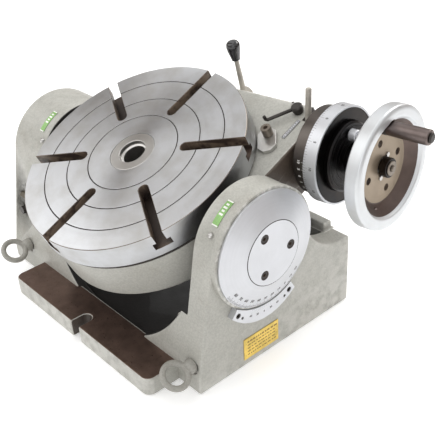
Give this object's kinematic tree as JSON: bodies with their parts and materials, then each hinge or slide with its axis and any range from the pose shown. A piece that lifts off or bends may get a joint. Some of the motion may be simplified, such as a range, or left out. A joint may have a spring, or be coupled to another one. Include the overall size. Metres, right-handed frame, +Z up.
{
  "type": "tilting rotary table with worm gearing",
  "caption": "Round T-slotted table on a worm wheel, in a cradle that tilts between two cheeks; handwheel and dial turn its worm, and a second worm sets the tilt.",
  "frame": {"origin": "on the underside of the base, below the middle of the trunnion axis", "axes": "+X along the trunnion axis towards the graduated disc, +Z up, -Y towards the front clamping ledge"},
  "size_m": [0.5813, 0.4052, 0.3472],
  "materials": {
    "casting_paint": "light warm grey enamel over cast iron",
    "table_steel": "ground steel with circular marks",
    "satin_steel": "satin machined steel",
    "bright_steel": "turned steel",
    "black_steel": "blackened steel",
    "black_turned": "black turned steel with a fine lathe finish",
    "collar_steel": "dark turned steel",
    "handwheel_metal": "polished aluminium",
    "grip_steel": "dark polished steel",
    "bronze": "bearing bronze",
    "eye_steel": "grey painted forged steel",
    "plate_brass": "stamped brass",
    "tag_enamel": "green and white enamel",
    "knob_plastic": "black gloss plastic"
  },
  "bodies": {
    "base": {"base_casting": "casting_paint", "right_trunnion_bush": "bronze", "left_trunnion_bush": "bronze", "left_end_cover": "casting_paint", "tilt_worm_front_bush": "bronze", "tilt_worm_rear_bush": "bronze", "vernier_plate": "satin_steel", "vernier_screw_1": "black_steel", "vernier_screw_2": "black_steel", "vernier_pin_1": "black_steel", "vernier_pin_2": "black_steel", "eyebolt_1": "eye_steel", "eyebolt_2": "eye_steel", "right_tag": "tag_enamel", "left_tag": "tag_enamel", "right_oil_nipple": "bright_steel", "left_oil_nipple": "bright_steel", "data_plate": "plate_brass"},
    "cradle": {"cradle_body": "casting_paint", "right_trunnion": "bright_steel", "left_trunnion": "bright_steel", "tilt_worm_wheel": "bronze", "tilt_disc": "satin_steel", "disc_screw_1": "black_steel", "disc_screw_2": "black_steel", "disc_screw_3": "black_steel", "table_bearing": "bronze", "bottom_cover": "casting_paint", "worm_left_bush": "bronze", "worm_end_cover": "casting_paint", "reading_collar": "collar_steel", "index_block": "satin_steel", "index_block_bolt": "bright_steel", "level_plate": "satin_steel", "housing_screw": "bright_steel"},
    "table": {"rotary_table": "table_steel", "spindle_sleeve": "bright_steel", "worm_wheel": "bronze", "spindle_nut": "bright_steel"},
    "sleeve": {"eccentric_sleeve": "bright_steel", "engagement_rod": "bright_steel"},
    "worm": {"worm_shaft": "bright_steel", "dial_hub": "black_turned", "handwheel": "handwheel_metal", "hub_boss": "black_turned", "hub_washer": "bright_steel", "hub_screw": "bright_steel", "handle_spindle": "black_steel"},
    "dial": {"dial_ring": "satin_steel"},
    "lock_knob": {"dial_lock_knob": "bright_steel"},
    "grip": {"handle_grip": "grip_steel"},
    "worm_clamp": {"worm_clamp_lever": "black_steel"},
    "table_clamp": {"table_clamp_lever": "bright_steel", "table_clamp_knob": "knob_plastic"},
    "tilt_screw": {"tilt_worm": "bright_steel"}
  },
  "joints": [
    {"name": "tilt", "type": "hinge", "parent": "base", "child": "cradle", "pos_m": [0, 0, 0.1695], "axis": [1, 0, 0], "range_deg": [-25, 65]},
    {"name": "table_spin", "type": "hinge", "parent": "cradle", "child": "table", "pos_m": [0, 0, 0.1695], "axis": [0, -0.4226, 0.9063], "continuous": true},
    {"name": "worm_spin", "type": "hinge", "parent": "cradle", "child": "worm", "pos_m": [-0.01481, 0.11908, 0.23165], "axis": [0.994, 0.0995, 0.0464], "continuous": true},
    {"name": "engagement", "type": "hinge", "parent": "cradle", "child": "sleeve", "pos_m": [-0.01481, 0.11908, 0.23165], "axis": [-0.994, -0.0995, -0.0464], "range_deg": [0, 35]},
    {"name": "dial_setting", "type": "hinge", "parent": "worm", "child": "dial", "pos_m": [-0.01481, 0.11908, 0.23165], "axis": [0.994, 0.0995, 0.0464], "continuous": true},
    {"name": "dial_lock", "type": "hinge", "parent": "worm", "child": "lock_knob", "pos_m": [-0.01617, 0.1179, 0.2633], "axis": [0.994, 0.0995, 0.0464], "range_deg": [-90, 90]},
    {"name": "grip_spin", "type": "hinge", "parent": "worm", "child": "grip", "pos_m": [-0.01678, 0.11323, 0.2863], "axis": [0.994, 0.0995, 0.0464], "continuous": true},
    {"name": "worm_clamp_swing", "type": "hinge", "parent": "cradle", "child": "worm_clamp", "pos_m": [0.1339, 0.14064, 0.27867], "axis": [0, -0.4226, 0.9063], "range_deg": [-45, 15]},
    {"name": "table_clamp_swing", "type": "hinge", "parent": "cradle", "child": "table_clamp", "pos_m": [0.01332, 0.15147, 0.25999], "axis": [-0.1097, 0.9008, 0.4201], "range_deg": [-25, 25]},
    {"name": "tilt_worm_spin", "type": "hinge", "parent": "base", "child": "tilt_screw", "pos_m": [-0.214, 0, 0.0945], "axis": [0, -1, 0], "range_deg": [-1500, 3900]}
  ],
  "couplings": [
    {"joint": "worm_spin", "follows": "table_spin", "ratio": 90},
    {"joint": "tilt_worm_spin", "follows": "tilt", "ratio": 60}
  ]
}
